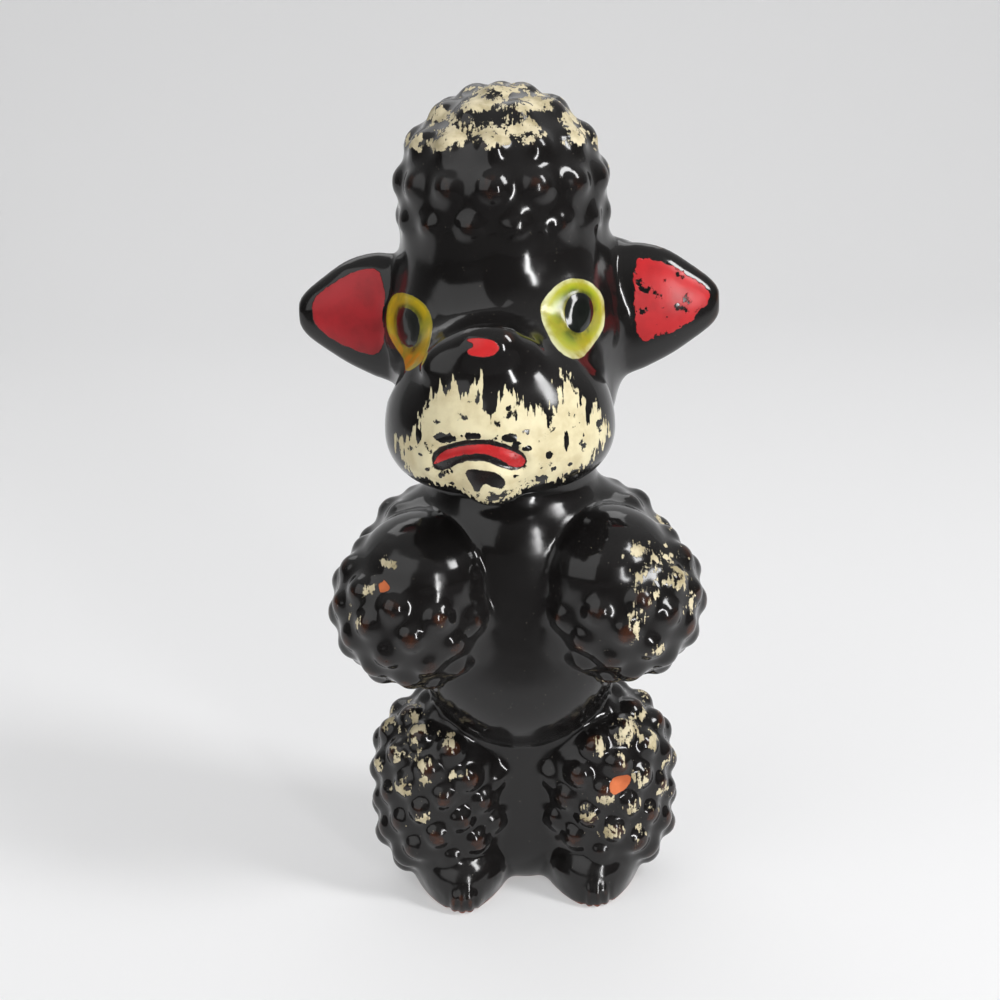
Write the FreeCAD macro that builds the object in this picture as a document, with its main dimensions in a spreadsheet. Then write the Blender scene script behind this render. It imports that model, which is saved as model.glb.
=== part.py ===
import FreeCAD, Part
import math
import os

# A poodle standing on its hind legs: a hollow casting in red clay, luted together from sections,
# with popcorn curls on the topknot, forelegs, hind legs and tail, and layers of cold paint on the face.
# It faces -Y, its own left is +X and it stands on Z = 0. Lengths are millimetres, angles are degrees.

sizes = {
    # casting
    "wall": 3.5,
    "floor_wall": 4.0,
    "vent_radius": 4.5,
    "vent_behind_pelvis": 1.0,
    "overrun": 5.0,
    # torso, from the floor up
    "pelvis_radius": 15.5,
    "pelvis_centre_y": 7.0,
    "pelvis_low_z": 13.0,
    "pelvis_height": 20.0,
    "waist_rise": 19.0,
    "belly_radius": 20.5,
    "belly_height": 24.0,
    "neck_height": 14.0,
    "neck_seam_radius": 16.5,
    # head, in its own frame before it turns
    "head_turn": -5.5,
    "head_centre_x": -0.2,
    "cranium_rise": 19.5,
    "cranium_radius": 21.8,
    "crown_height": 29.0,
    "crown_radius": 19.6,
    "muzzle_forward": 20.0,
    "muzzle_drop": 5.9,
    "jowl_spread": 12.1,
    "jowl_radius": 9.5,
    "chin_forward": 3.1,
    "chin_drop": 3.6,
    "chin_radius": 7.0,
    "nose_rise_angle": 52.4,
    "nose_lift": 2.0,
    "nose_radius": 4.3,
    "nose_half_length": 2.2,
    # topknot
    "topknot_rise": 6.1,
    "topknot_radius": 19.6,
    "topknot_curl_radius": 4.3,
    "topknot_curl_sink": 2.5,
    # ears
    "ear_centre_y": 2.0,
    "left_ear_rise": 13.0,
    "right_ear_rise": 12.0,
    "ear_root_sink": 6.8,
    "ear_length": 26.3,
    "ear_half_height": 15.2,
    "ear_half_thickness": 6.6,
    # eyes
    "eye_sink": 0.7,
    "eye_half_width": 7.0,
    "eye_half_depth": 1.7,
    "eye_half_height": 7.6,
    "pupil_half_width": 4.4,
    "pupil_half_depth": 2.0,
    "pupil_half_height": 5.4,
    "left_eye_azimuth": 45.0,
    "left_eye_rise": 13.8,
    "right_eye_azimuth": 49.5,
    "right_eye_rise": 11.3,
    # paint
    "paint_thickness": 0.3,
    "ear_paint_from_root": 10.0,
    "ear_paint_from_tip": 1.7,
    "ear_paint_forward": 4.0,
    "muzzle_paint_rise": 9.4,
    "muzzle_paint_forward": 2.0,
    "mouth_rise": 1.2,
    "mouth_arc_radius": 12.0,
    "mouth_half_stroke": 0.9,
    "mouth_corner_drop": 3.0,
    "nose_paint_radius": 2.9,
    # forelegs, given for the left one
    "shoulder_inset": 5.0,
    "shoulder_centre_y": 0.0,
    "shoulder_drop": 6.0,
    "shoulder_radius": 15.5,
    "puff_outward": 4.8,
    "puff_forward": 12.5,
    "puff_drop": 3.7,
    "puff_radius": 15.2,
    "foreleg_curl_radius": 3.7,
    "foreleg_curl_sink": 1.7,
    # hind legs, given for the left one
    "haunch_outward": 0.7,
    "haunch_forward": 6.0,
    "haunch_low_z": 15.0,
    "haunch_height": 12.0,
    "haunch_radius": 14.4,
    "haunch_curl_radius": 3.4,
    "haunch_curl_sink": 1.6,
    "paw_inset": 2.6,
    "paw_backward": 2.0,
    "paw_centre_z": 2.0,
    "paw_half_width": 10.3,
    "paw_half_depth": 19.5,
    "paw_half_height": 9.0,
    # tail
    "tail_behind": 5.0,
    "tail_drop": 8.0,
    "tail_radius": 7.2,
    "tail_curl_radius": 2.6,
    "tail_curl_sink": 1.0,
}

# places worked out from those sizes, from the floor up
pelvis_high_z = "(sizes.pelvis_low_z + sizes.pelvis_height)"
belly_low_z = f"({pelvis_high_z} + sizes.waist_rise)"
belly_high_z = f"({belly_low_z} + sizes.belly_height)"
neck_seam_z = f"({belly_high_z} + sizes.neck_height)"
cranium_centre_z = f"({neck_seam_z} + sizes.cranium_rise)"
crown_seam_z = f"({cranium_centre_z} + sizes.crown_height)"
muzzle_centre_z = f"({cranium_centre_z} - sizes.muzzle_drop)"
muzzle_radius = "(sizes.jowl_spread + sizes.jowl_radius)"
nose_reach = f"({muzzle_radius} + sizes.nose_lift)"
ear_root_x = "(sizes.cranium_radius - sizes.ear_root_sink)"
eye_seat_radius = "(sizes.cranium_radius - sizes.eye_sink)"
shoulder_centre_x = "(sizes.belly_radius - sizes.shoulder_inset)"
haunch_centre_x = "(sizes.pelvis_radius + sizes.haunch_outward)"

# the ear's outline from root to tip, as shares of the whole: place along it, height, thickness and droop
ear_shares = ((0.0, 0.86, 1.0, 0.14), (0.27, 0.88, 0.95, 0.1), (0.46, 0.8, 0.85, 0.03), (0.66, 0.65, 0.74, 0.0),
              (0.83, 0.45, 0.56, 0.0), (0.94, 0.3, 0.4, 0.0), (1.0, 0.15, 0.2, 0.0))
# rows of topknot curls: how far up the dome, in degrees, and how many in the row
topknot_rows = ((-13.0, 14), (10.0, 14), (33.0, 12), (55.0, 8), (76.0, 4))
# curls that would cover a whole ball, of which only those that show are made
puff_curls_all_round = 66
shoulder_curls_all_round = 66
haunch_curls_all_round = 92
tail_curls_all_round = 34
golden_turn = 180.0 * (3.0 - math.sqrt(5.0))
# the smooth caps of forelegs and thighs lean inwards and forwards, and end this far from their poles
puff_cap_lean = 28.0
puff_cap_half_angle = 60.0
haunch_cap_lean = 46.0
haunch_cap_half_angle = 38.0
# shares of a curl's radius: kept clear of the floor, of the midline and of the puff, and sunk out of sight
floor_clear_share = 1.3
midline_clear_share = 1.1
puff_midline_clear_share = 1.6
puff_clear_share = 0.5
hidden_share = 0.2
# the shoulder's curls face at least this much outwards, backwards and upwards, as shares of a whole step
mane_outward_share = 0.2
mane_backward_share = -0.35
mane_upward_share = -0.75
# a thigh curl this deep in the paw, as a share of the paw's own size, is left out
paw_hidden_share = 1.1

doc = FreeCAD.newDocument("figure")


def make_sheet():
    sheet = doc.addObject("Spreadsheet::Sheet", "sizes")
    for row, (name, value) in enumerate(sizes.items(), start=1):
        sheet.set(f"A{row}", name)
        sheet.set(f"B{row}", str(value))
        sheet.setAlias(f"B{row}", name)
    doc.recompute()
    return sheet


sheet = make_sheet()


def size(name):
    return float(getattr(sheet, name))


def value(rule):
    """What a rule comes to with the sheet's present sizes."""
    return float(sheet.evalExpression(rule))


def point_of(centre):
    return FreeCAD.Vector(*(value(rule) for rule in centre))


def bind(item, rules):
    for field, rule in rules.items():
        item.setExpression(field, rule)
    return item


def place(item, centre):
    rules = {f"Placement.Base.{axis}": rule for axis, rule in zip("xyz", centre) if rule != "0"}
    return bind(item, rules)


def ellipsoid(name, centre, half_width, half_depth, half_height):
    item = doc.addObject("Part::Ellipsoid", name)
    item.Angle1, item.Angle2, item.Angle3 = -90, 90, 360
    bind(item, {"Radius2": half_width, "Radius3": half_depth, "Radius1": half_height})
    return place(item, centre)


def ball(name, centre, radius):
    item = doc.addObject("Part::Sphere", name)
    bind(item, {"Radius": radius})
    return place(item, centre)


def capsule(name, x, y, low_z, high_z, radius):
    """The lumps of an upright round-ended post: a ball at each end and a cylinder between them."""
    return [ball(f"{name}_low", (x, y, low_z), radius), ball(f"{name}_high", (x, y, high_z), radius),
            upright_cylinder(f"{name}_middle", (x, y, low_z), radius, f"{high_z} - {low_z}")]


def upright_cone(name, centre, low_radius, high_radius, rise):
    item = doc.addObject("Part::Cone", name)
    bind(item, {"Radius1": low_radius, "Radius2": high_radius, "Height": rise})
    return place(item, centre)


def upright_cylinder(name, centre, radius, rise):
    item = doc.addObject("Part::Cylinder", name)
    bind(item, {"Radius": radius, "Height": rise})
    return place(item, centre)


def box(name, corner, width, depth, rise):
    item = doc.addObject("Part::Box", name)
    bind(item, {"Length": width, "Width": depth, "Height": rise})
    return place(item, corner)


def fuse(name, pieces):
    item = doc.addObject("Part::MultiFuse", name)
    item.Shapes, item.Refine = pieces, False
    return item


def common(name, first, second):
    item = doc.addObject("Part::MultiCommon", name)
    item.Shapes, item.Refine = [first, second], False
    return item


def cut(name, base, tool):
    item = doc.addObject("Part::Cut", name)
    item.Base, item.Tool, item.Refine = base, tool, False
    return item


def mirror(name, source):
    item = doc.addObject("Part::Mirroring", name)
    item.Source, item.Normal = source, FreeCAD.Vector(1, 0, 0)
    return item


def turn_with_head(item):
    return bind(item, {"Placement.Rotation.Angle": "sizes.head_turn",
                       "Placement.Base.x": "sizes.head_centre_x"})


def spiral_directions(count):
    """Even directions all over a ball, as a spiral that winds down from its pole."""
    for k in range(count):
        rise = 1.0 - (2.0 * k + 1.0) / count
        reach = math.sqrt(1.0 - rise * rise)
        angle = math.radians(golden_turn * k)
        yield FreeCAD.Vector(reach * math.cos(angle), reach * math.sin(angle), rise)


def row_directions(rows):
    for k, (rise_angle, count) in enumerate(rows):
        rise = math.radians(rise_angle)
        for step in range(count):
            angle = 2.0 * math.pi * (step + 0.5 * (k % 2)) / count
            yield FreeCAD.Vector(math.cos(rise) * math.cos(angle), math.cos(rise) * math.sin(angle),
                                 math.sin(rise))


def curl(name, direction, centre, core_radius, radius, sink):
    """A ball sunk into the surface of the round core that carries it, its seam turned inwards."""
    rules = [f"{middle} + ({core_radius} - {sink}) * ({share:.6f})"
             for middle, share in zip(centre, direction)]
    return turn_seam_inwards(ball(name, rules, radius), direction)


def turn_seam_inwards(item, direction):
    item.Placement.Rotation = FreeCAD.Rotation(FreeCAD.Vector(-1, 0, 0), direction)
    return item


def inside_torso(point, margin):
    """Whether a point lies deeper than a margin in the belly or the pelvis."""
    belly = (0.0, value(belly_low_z), value(belly_high_z), size("belly_radius"))
    pelvis = (size("pelvis_centre_y"), size("pelvis_low_z"), value(pelvis_high_z), size("pelvis_radius"))
    for y, low, high, radius in (belly, pelvis):
        middle = FreeCAD.Vector(0, y, min(max(point.z, low), high))
        if (point - middle).Length < radius - margin:
            return True
    return False


# Torso

def make_torso_outside():
    slab = box("torso_span", (f"-{torso_reach}", f"-{torso_reach}", "0"), f"2 * {torso_reach}",
               f"2 * {torso_reach}", neck_seam_z)
    return common("torso_outside", fuse("torso_lumps", torso_lumps("torso", "0")), slab)


torso_reach = "(sizes.belly_radius + sizes.pelvis_radius + sizes.overrun)"


def torso_lumps(name, growth):
    """The belly, the pelvis behind and below it, and the neck that narrows to the head's seam."""
    belly = capsule(f"{name}_belly", "0", "0", belly_low_z, belly_high_z,
                    f"sizes.belly_radius + {growth}")
    pelvis = capsule(f"{name}_pelvis", "0", "sizes.pelvis_centre_y", "sizes.pelvis_low_z",
                     pelvis_high_z, f"sizes.pelvis_radius + {growth}")
    neck = upright_cone(f"{name}_neck", ("sizes.head_centre_x", "0", belly_high_z),
                        f"sizes.belly_radius + {growth}", f"sizes.neck_seam_radius + {growth}",
                        "sizes.neck_height")
    return belly + pelvis + [neck]


def make_torso_hollow():
    return above_floor("torso_hollow", fuse("torso_hollows", torso_lumps("torso_hollow", "-sizes.wall")))


def above_floor(name, item):
    reach = "(2 * sizes.belly_radius + sizes.puff_outward + sizes.puff_radius)"
    slab = box(f"{name}_span", (f"-{reach}", f"-{reach}", "sizes.floor_wall"), f"2 * {reach}",
               f"2 * {reach}", f"{neck_seam_z} - sizes.floor_wall")
    return common(name, item, slab)


def make_vent():
    centre = ("0", "sizes.pelvis_centre_y + sizes.vent_behind_pelvis", "-sizes.overrun")
    return upright_cylinder("vent", centre, "sizes.vent_radius",
                            "sizes.floor_wall + 2 * sizes.overrun")


# Forelegs

shoulder_centre = (shoulder_centre_x, "sizes.shoulder_centre_y", f"{belly_high_z} - sizes.shoulder_drop")
puff_centre = (f"{shoulder_centre_x} + sizes.puff_outward", "sizes.shoulder_centre_y - sizes.puff_forward",
               f"{belly_high_z} - sizes.shoulder_drop - sizes.puff_drop")


def make_foreleg_hollow():
    shoulder = ball("shoulder_hollow", shoulder_centre, "sizes.shoulder_radius - sizes.wall")
    puff = ball("puff_hollow", puff_centre, "sizes.puff_radius - sizes.wall")
    return fuse("foreleg_hollow", [shoulder, puff])


def cap_pole(lean):
    lean = math.radians(lean)
    return FreeCAD.Vector(-math.sin(lean), -math.sin(lean) * math.sin(lean), math.cos(lean))


def make_foreleg_curls():
    """Curls cover the outer, lower and rear faces, and leave the top of the held-up leg smooth."""
    curls = []
    radius, sink = size("foreleg_curl_radius"), size("foreleg_curl_sink")
    puff, shoulder = point_of(puff_centre), point_of(shoulder_centre)
    pole = cap_pole(puff_cap_lean)
    for k, direction in enumerate(spiral_directions(puff_curls_all_round)):
        point = puff + direction * (size("puff_radius") - sink)
        off_cap = math.degrees(direction.getAngle(pole)) > puff_cap_half_angle
        hidden = (inside_torso(point, hidden_share * radius)
                  or (point - shoulder).Length < size("shoulder_radius") - radius)
        if off_cap and not hidden and point.x > puff_midline_clear_share * radius:
            curls.append(curl(f"puff_curl_{k}", direction, puff_centre, "sizes.puff_radius",
                              "sizes.foreleg_curl_radius", "sizes.foreleg_curl_sink"))
    for k, direction in enumerate(spiral_directions(shoulder_curls_all_round)):
        point = shoulder + direction * (size("shoulder_radius") - sink)
        outward = (direction.x > mane_outward_share and direction.y > mane_backward_share
                   and direction.z > mane_upward_share)
        hidden = (inside_torso(point, hidden_share * radius)
                  or (point - puff).Length < size("puff_radius") + puff_clear_share * radius)
        if outward and not hidden:
            curls.append(curl(f"shoulder_curl_{k}", direction, shoulder_centre, "sizes.shoulder_radius",
                              "sizes.foreleg_curl_radius", "sizes.foreleg_curl_sink"))
    return curls


def make_foreleg(torso_outside, hollow):
    shoulder = ball("shoulder", shoulder_centre, "sizes.shoulder_radius")
    puff = ball("puff", puff_centre, "sizes.puff_radius")
    outside = fuse("foreleg_outside", [shoulder, puff] + make_foreleg_curls())
    return cut("foreleg_left", outside, fuse("foreleg_tools", [torso_outside, hollow]))


# Hind legs

haunch_centre_y = "(sizes.pelvis_centre_y - sizes.haunch_forward)"
haunch_high_z = "(sizes.haunch_low_z + sizes.haunch_height)"


def haunch_lumps(name, growth):
    return capsule(name, haunch_centre_x, haunch_centre_y, "sizes.haunch_low_z", haunch_high_z,
                   f"sizes.haunch_radius + {growth}")


def make_haunch_hollow():
    return above_floor("haunch_hollow", fuse("haunch_hollows", haunch_lumps("haunch_hollow", "-sizes.wall")))


def make_haunch_curls():
    """Curls wind down the thigh at even spacing, and leave out those that the body or paw would hide."""
    curls = []
    radius, sink = size("haunch_curl_radius"), size("haunch_curl_sink")
    seat = size("haunch_radius") - sink
    half_span = size("haunch_height") / 2.0
    middle = point_of((haunch_centre_x, haunch_centre_y, "sizes.haunch_low_z + sizes.haunch_height / 2"))
    pole = cap_pole(haunch_cap_lean)
    for k in range(haunch_curls_all_round):
        share = 1.0 - (2.0 * k + 1.0) / haunch_curls_all_round
        rise = share * (seat + half_span)
        past_end = max(abs(rise) - half_span, 0.0)
        reach = math.sqrt(seat * seat - past_end * past_end) / seat
        angle = math.radians(golden_turn * k)
        across, ahead = reach * math.cos(angle), reach * math.sin(angle)
        point = middle + FreeCAD.Vector(seat * across, seat * ahead, rise)
        facing = FreeCAD.Vector(across, ahead, math.copysign(past_end, rise) / seat)
        on_cap = math.degrees(facing.getAngle(pole)) < haunch_cap_half_angle
        on_floor = point.z < floor_clear_share * radius
        hidden = inside_torso(point, hidden_share * radius) or inside_paw(point)
        if on_cap or on_floor or hidden or point.x < midline_clear_share * radius:
            continue
        seat_rule = "(sizes.haunch_radius - sizes.haunch_curl_sink)"
        lump = ball(f"haunch_curl_{k}", (
            f"{haunch_centre_x} + {seat_rule} * ({across:.6f})",
            f"{haunch_centre_y} + {seat_rule} * ({ahead:.6f})",
            "sizes.haunch_low_z + sizes.haunch_height / 2"
            f" + ({share:.6f}) * ({seat_rule} + sizes.haunch_height / 2)",
        ), "sizes.haunch_curl_radius")
        curls.append(turn_seam_inwards(lump, facing))
    return curls


paw_centre = (f"{haunch_centre_x} - sizes.paw_inset", f"{haunch_centre_y} + sizes.paw_backward",
              "sizes.paw_centre_z")


def inside_paw(point):
    offset = point - point_of(paw_centre)
    reach = math.sqrt((offset.x / size("paw_half_width")) ** 2 + (offset.y / size("paw_half_depth")) ** 2
                      + (offset.z / size("paw_half_height")) ** 2)
    return reach < paw_hidden_share


def make_paw_outside():
    whole = ellipsoid("paw_whole", paw_centre, "sizes.paw_half_width", "sizes.paw_half_depth",
                      "sizes.paw_half_height")
    return common("paw_outside", whole, ground("paw_span"))


def ground(name):
    reach = f"({haunch_centre_x} + sizes.haunch_radius + sizes.overrun)"
    return box(name, ("0", f"-{reach}", "0"), f"2 * {reach}", f"2 * {reach}", neck_seam_z)


def make_hind_leg(torso_outside, paw_outside, hollow):
    lumps = fuse("haunch_lumps", haunch_lumps("haunch", "0") + make_haunch_curls())
    outside = common("haunch_outside", lumps, ground("haunch_span"))
    return cut("hind_leg_left", outside, fuse("haunch_tools", [torso_outside, paw_outside, hollow]))


# Tail

def make_tail(torso_outside):
    centre = ("0", "sizes.pelvis_centre_y + sizes.pelvis_radius + sizes.tail_behind",
              f"{pelvis_high_z} - sizes.tail_drop")
    pieces = [ball("tail_pom", centre, "sizes.tail_radius")]
    middle = point_of(centre)
    for k, direction in enumerate(spiral_directions(tail_curls_all_round)):
        point = middle + direction * (size("tail_radius") - size("tail_curl_sink"))
        if not inside_torso(point, -size("tail_curl_radius")):
            pieces.append(curl(f"tail_curl_{k}", direction, centre, "sizes.tail_radius",
                               "sizes.tail_curl_radius", "sizes.tail_curl_sink"))
    return cut("tail", fuse("tail_lumps", pieces), torso_outside)


# Head

cranium_centre = ("0", "0", cranium_centre_z)
muzzle_centre = ("0", "-sizes.muzzle_forward", muzzle_centre_z)


def muzzle_lumps(name, growth):
    """A dome over a wide rounded jowl: half a ball, and below it a ring with its middle filled."""
    dome = ball(f"{name}_dome", muzzle_centre, f"{muzzle_radius} + {growth}")
    dome.Angle1 = 0
    jowl = doc.addObject("Part::Torus", f"{name}_jowl")
    bind(jowl, {"Radius1": "sizes.jowl_spread", "Radius2": f"sizes.jowl_radius + {growth}"})
    place(jowl, muzzle_centre)
    low = f"{muzzle_centre_z} - sizes.jowl_radius - {growth}"
    filling = upright_cylinder(f"{name}_filling", ("0", "-sizes.muzzle_forward", low), "sizes.jowl_spread",
                               f"sizes.jowl_radius + {growth}")
    return [dome, jowl, filling]


def chin_lump(name, growth):
    centre = ("0", "-sizes.muzzle_forward - sizes.jowl_spread - sizes.chin_forward",
              f"{muzzle_centre_z} - sizes.chin_drop")
    return ball(name, centre, f"sizes.chin_radius + {growth}")


nose_centre_y = f"(-sizes.muzzle_forward - {nose_reach} * cos(sizes.nose_rise_angle))"
nose_centre_z = f"({muzzle_centre_z} + {nose_reach} * sin(sizes.nose_rise_angle))"


def nose_lumps(name, growth):
    """A button that lies across the muzzle: a rod with a ball at each end."""
    ends = [ball(f"{name}_end_{word}", (f"{side} * sizes.nose_half_length", nose_centre_y, nose_centre_z),
                 f"sizes.nose_radius + {growth}")
            for word, side in (("left", 1), ("right", -1))]
    rod = doc.addObject("Part::Cylinder", f"{name}_rod")
    rod.Placement.Rotation = FreeCAD.Rotation(FreeCAD.Vector(0, 1, 0), 90)
    bind(rod, {"Radius": f"sizes.nose_radius + {growth}", "Height": "2 * sizes.nose_half_length"})
    return ends + [place(rod, ("-sizes.nose_half_length", nose_centre_y, nose_centre_z))]


def skull_lumps(name, growth):
    cranium = ball(f"{name}_cranium", cranium_centre, f"sizes.cranium_radius + {growth}")
    crown = upright_cone(f"{name}_crown", cranium_centre, f"sizes.cranium_radius + {growth}",
                         f"sizes.crown_radius + {growth}", "sizes.crown_height")
    neck = upright_cylinder(f"{name}_neck", ("0", "0", neck_seam_z), f"sizes.neck_seam_radius + {growth}",
                            "sizes.cranium_rise")
    return [cranium, crown, neck]


def head_span(name):
    reach = f"(sizes.cranium_radius + sizes.muzzle_forward + {muzzle_radius})"
    return box(name, (f"-{reach}", f"-{reach}", neck_seam_z), f"2 * {reach}", f"2 * {reach}",
               "sizes.cranium_rise + sizes.crown_height")


def make_head_outside():
    lumps = skull_lumps("skull", "0") + muzzle_lumps("muzzle", "0") + nose_lumps("nose", "0")
    lumps.append(chin_lump("chin", "0"))
    return common("head_outside", fuse("head_lumps", lumps), head_span("head_reach"))


def make_head(head_outside):
    inward = "-sizes.wall"
    hollows = skull_lumps("skull_hollow", inward) + muzzle_lumps("muzzle_hollow", inward)
    hollow = common("head_hollow", fuse("head_hollows", hollows), head_span("head_hollow_reach"))
    return turn_with_head(cut("head", head_outside, hollow))


# Topknot

def make_topknot():
    centre = ("0", "0", f"{crown_seam_z} + sizes.topknot_rise")
    pieces = [ball("topknot_core", centre, "sizes.topknot_radius")]
    for k, direction in enumerate(row_directions(topknot_rows)):
        pieces.append(curl(f"topknot_curl_{k}", direction, centre, "sizes.topknot_radius",
                           "sizes.topknot_curl_radius", "sizes.topknot_curl_sink"))
    reach = "(sizes.topknot_radius + sizes.topknot_curl_radius)"
    above = box("topknot_span", (f"-{reach}", f"-{reach}", crown_seam_z), f"2 * {reach}",
                f"2 * {reach}", f"2 * {reach}")
    outside = common("topknot_outside", fuse("topknot_lumps", pieces), above)
    hollow = ball("topknot_hollow", centre, "sizes.topknot_radius - sizes.wall")
    return turn_with_head(cut("topknot", outside, hollow))


# Ears

def ear_centre_z(word):
    return f"({cranium_centre_z} + sizes.{word}_ear_rise)"


def ear_loft(name, word, side, growth, middle_y):
    """A leaf through ellipses that stand across the ear's length; side is 1 for left, -1 for right."""
    sections = []
    for k, (along, height_share, thickness_share, droop_share) in enumerate(ear_shares):
        ring = doc.addObject("Part::Ellipse", f"{name}_ring_{k}")
        ring.Placement.Rotation = FreeCAD.Rotation(FreeCAD.Vector(0, 1, 0), 90)
        bind(ring, {"MajorRadius": f"sizes.ear_half_height * {height_share} + ({growth})",
                    "MinorRadius": f"sizes.ear_half_thickness * {thickness_share} + ({growth})"})
        along_rule = f"{side} * ({ear_root_x} + {along} * sizes.ear_length)"
        place(ring, (along_rule, middle_y, f"{ear_centre_z(word)} - sizes.ear_half_height * {droop_share}"))
        sections.append(ring)
    loft = doc.addObject("Part::Loft", name)
    loft.Sections, loft.Solid, loft.Ruled = sections, True, False
    return loft


def make_ear(word, side, head_outside):
    leaf = ear_loft(f"ear_leaf_{word}", word, side, "0", "sizes.ear_centre_y")
    return leaf, turn_with_head(cut(f"ear_{word}", leaf, head_outside))


def make_ear_paint(word, side, leaf):
    """A thin layer on the ear's front, inside its rim: a slightly larger ear less the ear itself."""
    skin = ear_loft(f"ear_paint_skin_{word}", word, side, "sizes.paint_thickness", "sizes.ear_centre_y")
    patch = ear_loft(f"ear_paint_patch_{word}", word, side, "0",
                     "sizes.ear_centre_y - sizes.ear_paint_forward")
    inner = f"({ear_root_x} + sizes.ear_paint_from_root)"
    outer = f"({ear_root_x} + sizes.ear_length - sizes.ear_paint_from_tip)"
    front = box(f"ear_paint_front_{word}",
                (inner if side > 0 else f"-{outer}",
                 "sizes.ear_centre_y - sizes.ear_half_thickness - sizes.overrun",
                 f"{ear_centre_z(word)} - sizes.ear_half_height"),
                f"{outer} - {inner}", "sizes.ear_half_thickness + sizes.overrun", "2 * sizes.ear_half_height")
    region = common(f"ear_paint_region_{word}", patch, front)
    layer = common(f"ear_paint_layer_{word}", skin, region)
    return turn_with_head(cut(f"ear_paint_{word}", layer, leaf))


# Eyes

def eye_lump(name, word, side, half_width, half_depth, half_height):
    """A lens on the skull, turned so that its own X runs in towards the middle of the head."""
    azimuth = f"sizes.{word}_eye_azimuth"
    centre = (f"{side} * {eye_seat_radius} * sin({azimuth})", f"-{eye_seat_radius} * cos({azimuth})",
              f"{cranium_centre_z} + sizes.{word}_eye_rise")
    item = ellipsoid(name, centre, half_depth, half_width, half_height)
    return bind(item, {"Placement.Rotation.Angle": f"90 + {side} * {azimuth}"})


def make_eye(word, side, head_outside):
    lens = eye_lump(f"eye_lens_{word}", word, side, "sizes.eye_half_width", "sizes.eye_half_depth",
                    "sizes.eye_half_height")
    dot = eye_lump(f"pupil_dot_{word}", word, side, "sizes.pupil_half_width", "sizes.pupil_half_depth",
                   "sizes.pupil_half_height")
    ring = cut(f"eye_{word}", lens, fuse(f"eye_seat_{word}", [head_outside, dot]))
    return turn_with_head(ring), turn_with_head(cut(f"pupil_{word}", dot, head_outside))


# Paint on the muzzle

def make_face_paint(head_outside):
    grown = fuse("muzzle_skin", muzzle_lumps("muzzle_skin", "sizes.paint_thickness")
                 + [chin_lump("chin_skin", "sizes.paint_thickness")])
    skin = cut("muzzle_layer", grown, head_outside)

    stroke_low = y_cylinder("mouth_inner", "sizes.mouth_arc_radius - sizes.mouth_half_stroke")
    stroke_high = y_cylinder("mouth_outer", "sizes.mouth_arc_radius + sizes.mouth_half_stroke")
    arc = cut("mouth_arc", stroke_high, stroke_low)
    reach = f"({muzzle_radius} + sizes.overrun)"
    above = box("mouth_span", (f"-{reach}", f"-sizes.muzzle_forward - {reach}",
                               f"{muzzle_centre_z} - sizes.mouth_corner_drop"), f"2 * {reach}", muzzle_radius,
                "sizes.mouth_rise + sizes.mouth_corner_drop + sizes.overrun")
    mouth_region = common("mouth_region", arc, above)
    mouth = turn_with_head(common("mouth_paint", skin, mouth_region))

    drop = "(sizes.jowl_radius + sizes.overrun)"
    front = box("muzzle_paint_span", (f"-{reach}", f"-sizes.muzzle_forward - {reach}",
                                      f"{muzzle_centre_z} - {drop}"), f"2 * {reach}",
                f"{reach} - sizes.muzzle_paint_forward", f"sizes.muzzle_paint_rise + {drop}")
    cream = turn_with_head(cut("muzzle_paint", common("muzzle_paint_region", skin, front), mouth_region))

    nose_skin = fuse("nose_skin", nose_lumps("nose_skin", "sizes.paint_thickness"))
    disc = doc.addObject("Part::Cylinder", "nose_paint_disc")
    disc.Placement.Rotation = FreeCAD.Rotation(FreeCAD.Vector(1, 0, 0), 90)
    bind(disc, {"Radius": "sizes.nose_paint_radius", "Height": "sizes.nose_radius + sizes.overrun"})
    place(disc, ("0", nose_centre_y, nose_centre_z))
    red = turn_with_head(cut("nose_paint", common("nose_paint_region", nose_skin, disc), head_outside))
    return mouth, cream, red


def y_cylinder(name, radius):
    item = doc.addObject("Part::Cylinder", name)
    item.Placement.Rotation = FreeCAD.Rotation(FreeCAD.Vector(1, 0, 0), 90)
    bind(item, {"Radius": radius, "Height": f"{muzzle_radius} + sizes.overrun"})
    return place(item, ("0", "-sizes.muzzle_forward",
                        f"{muzzle_centre_z} + sizes.mouth_rise - sizes.mouth_arc_radius"))


# The whole figure

torso_outside = make_torso_outside()
foreleg_hollow = make_foreleg_hollow()
haunch_hollow = make_haunch_hollow()
torso_tools = fuse("torso_tools", [make_torso_hollow(), foreleg_hollow, haunch_hollow,
                                   mirror("foreleg_hollow_right", foreleg_hollow),
                                   mirror("haunch_hollow_right", haunch_hollow), make_vent()])
paw_outside = make_paw_outside()
head_outside = make_head_outside()

parts = {
    "torso": cut("torso", torso_outside, torso_tools),
    "head": make_head(head_outside),
    "topknot": make_topknot(),
    "foreleg_left": make_foreleg(torso_outside, foreleg_hollow),
    "hind_leg_left": make_hind_leg(torso_outside, paw_outside, haunch_hollow),
    "paw_left": cut("paw_left", paw_outside, torso_outside),
    "tail": make_tail(torso_outside),
}
for base in ("foreleg", "hind_leg", "paw"):
    parts[f"{base}_right"] = mirror(f"{base}_right", parts[f"{base}_left"])
for word, side in (("left", 1), ("right", -1)):
    leaf, parts[f"ear_{word}"] = make_ear(word, side, head_outside)
    parts[f"ear_paint_{word}"] = make_ear_paint(word, side, leaf)
    parts[f"eye_{word}"], parts[f"pupil_{word}"] = make_eye(word, side, head_outside)
parts["mouth_paint"], parts["muzzle_paint"], parts["nose_paint"] = make_face_paint(head_outside)

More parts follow.
